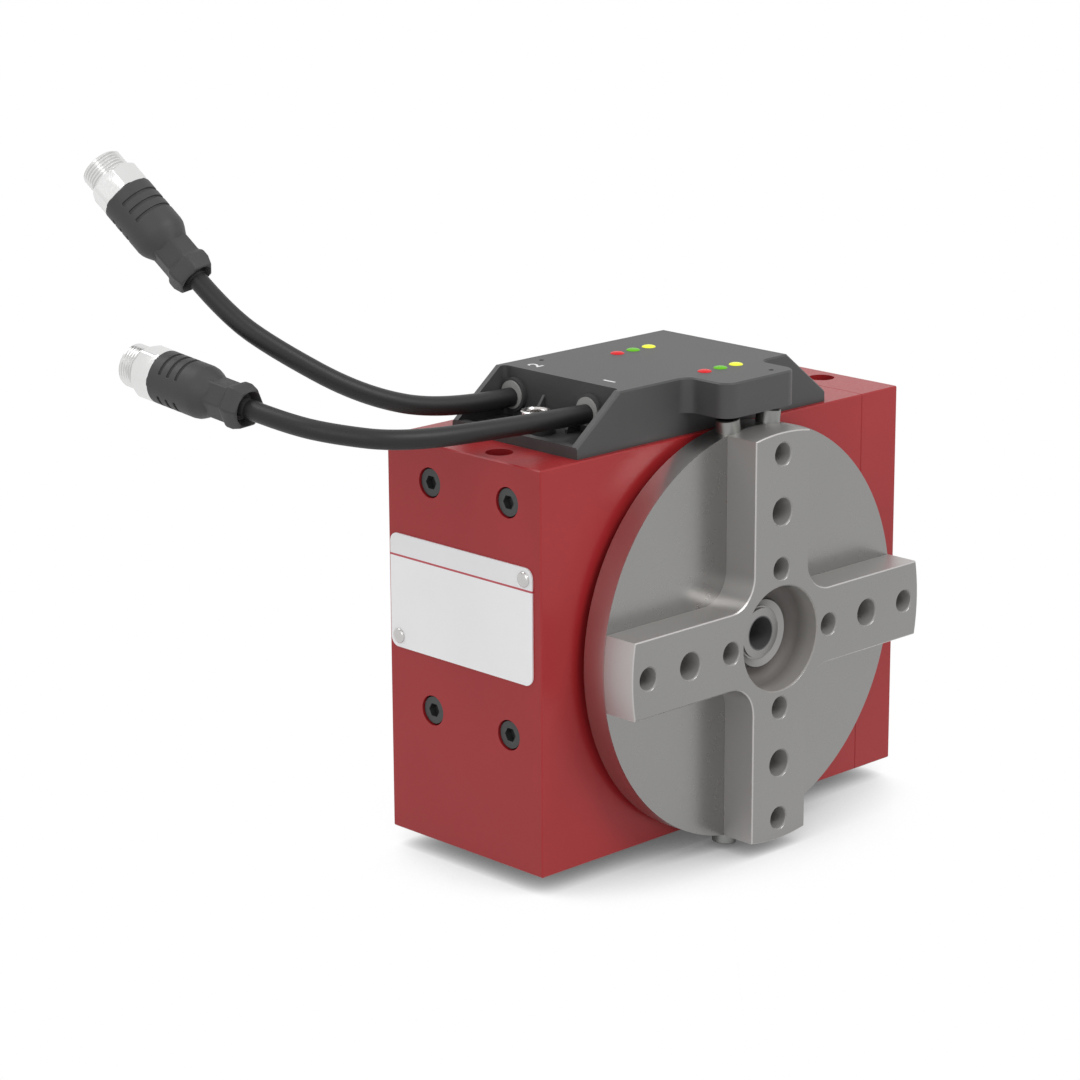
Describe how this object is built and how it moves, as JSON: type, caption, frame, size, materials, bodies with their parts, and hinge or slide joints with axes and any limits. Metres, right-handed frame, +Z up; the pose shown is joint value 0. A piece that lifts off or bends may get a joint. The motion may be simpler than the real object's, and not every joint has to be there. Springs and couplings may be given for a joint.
{
  "type": "pneumatic rotary indexing table",
  "caption": "Rack-and-pinion rotary actuator block with a cross-armed turning table on its front face and a two-channel position sensor with plug leads on top.",
  "frame": {"origin": "on the turning axis of the shaft bore, in the plane of the housing's front face", "axes": "-Y along the turning axis, out of the table's face; +X to the right seen from the front, towards the end cover; +Z up"},
  "size_m": [0.2284, 0.1601, 0.2197],
  "materials": {
    "red_paint": "semi-gloss red enamel over machined aluminium",
    "seal_rubber": "nitrile rubber",
    "black_screw": "black oxide",
    "nameplate": "satin plate, left bare",
    "rivet_steel": "plain steel",
    "bearing_steel": "ground bearing steel",
    "spring_steel": "phosphated spring steel",
    "bumper_elastomer": "polyurethane",
    "sensor_plastic": "dark grey moulded plastic",
    "board_green": "coated circuit board",
    "coil_copper": "wound copper",
    "lamp_red": "tinted lens",
    "lamp_green": "tinted lens",
    "lamp_yellow": "tinted lens",
    "zinc_screw": "zinc plated",
    "collar_plastic": "grey grommet",
    "lead_jacket": "black cable jacket",
    "plug_plastic": "black moulded polyurethane",
    "insert_plastic": "contact carrier",
    "pin_gold": "gold-plated contacts",
    "nickel": "nickel-plated brass",
    "table_steel": "satin ground steel",
    "shaft_steel": "hardened steel",
    "guide_plastic": "filled PTFE"
  },
  "bodies": {
    "housing": {"housing_body": "red_paint", "end_cover": "red_paint", "cover_seal_ring": "seal_rubber", "tie_screws": "black_screw", "nameplate": "nameplate", "nameplate_rivets": "rivet_steel", "front_bearing_outer_ring": "bearing_steel", "rear_bearing_outer_ring": "bearing_steel", "front_bearing_circlip": "spring_steel", "rear_bearing_circlip": "spring_steel", "end_bumpers": "bumper_elastomer", "sensor_housing": "sensor_plastic", "sensor_base_plate": "sensor_plastic", "circuit_boards": "board_green", "sensing_coils": "coil_copper", "red_status_lamps": "lamp_red", "green_status_lamps": "lamp_green", "yellow_status_lamps": "lamp_yellow", "clamp_screw": "zinc_screw", "front_cable_collar": "collar_plastic", "rear_cable_collar": "collar_plastic", "front_lead": "lead_jacket", "rear_lead": "lead_jacket", "front_plug_grip": "plug_plastic", "rear_plug_grip": "plug_plastic", "front_contact_insert": "insert_plastic", "rear_contact_insert": "insert_plastic", "front_contact_pins": "pin_gold", "rear_contact_pins": "pin_gold"},
    "table": {"turning_table": "table_steel", "target_studs": "table_steel", "pinion_shaft": "shaft_steel", "shaft_key": "shaft_steel", "shaft_circlip": "spring_steel", "front_bearing_inner_ring": "bearing_steel", "rear_bearing_inner_ring": "bearing_steel", "front_bearing_balls": "bearing_steel", "rear_bearing_balls": "bearing_steel"},
    "rack": {"rack_piston": "shaft_steel", "piston_seals": "seal_rubber", "piston_guide_rings": "guide_plastic"},
    "front_nut": {"front_coupling_nut": "nickel"},
    "rear_nut": {"rear_coupling_nut": "nickel"}
  },
  "joints": [
    {"name": "table_turn", "type": "hinge", "parent": "housing", "child": "table", "pos_m": [0, 0, 0], "axis": [0, -1, 0], "range_deg": [0, 180]},
    {"name": "rack_slide", "type": "slide", "parent": "housing", "child": "rack", "axis": [-1, 0, 0], "range_m": [0, 0.03142]},
    {"name": "front_nut_turn", "type": "hinge", "parent": "housing", "child": "front_nut", "pos_m": [-0.14043, 0.10696, 0.08643], "axis": [-0.1322, 0.9796, 0.1516], "continuous": true},
    {"name": "rear_nut_turn", "type": "hinge", "parent": "housing", "child": "rear_nut", "pos_m": [-0.13498, 0.12781, 0.14115], "axis": [-0.1567, 0.7443, 0.6493], "continuous": true}
  ],
  "couplings": [
    {"joint": "rack_slide", "follows": "table_turn", "m_per_rad": 0.01}
  ]
}
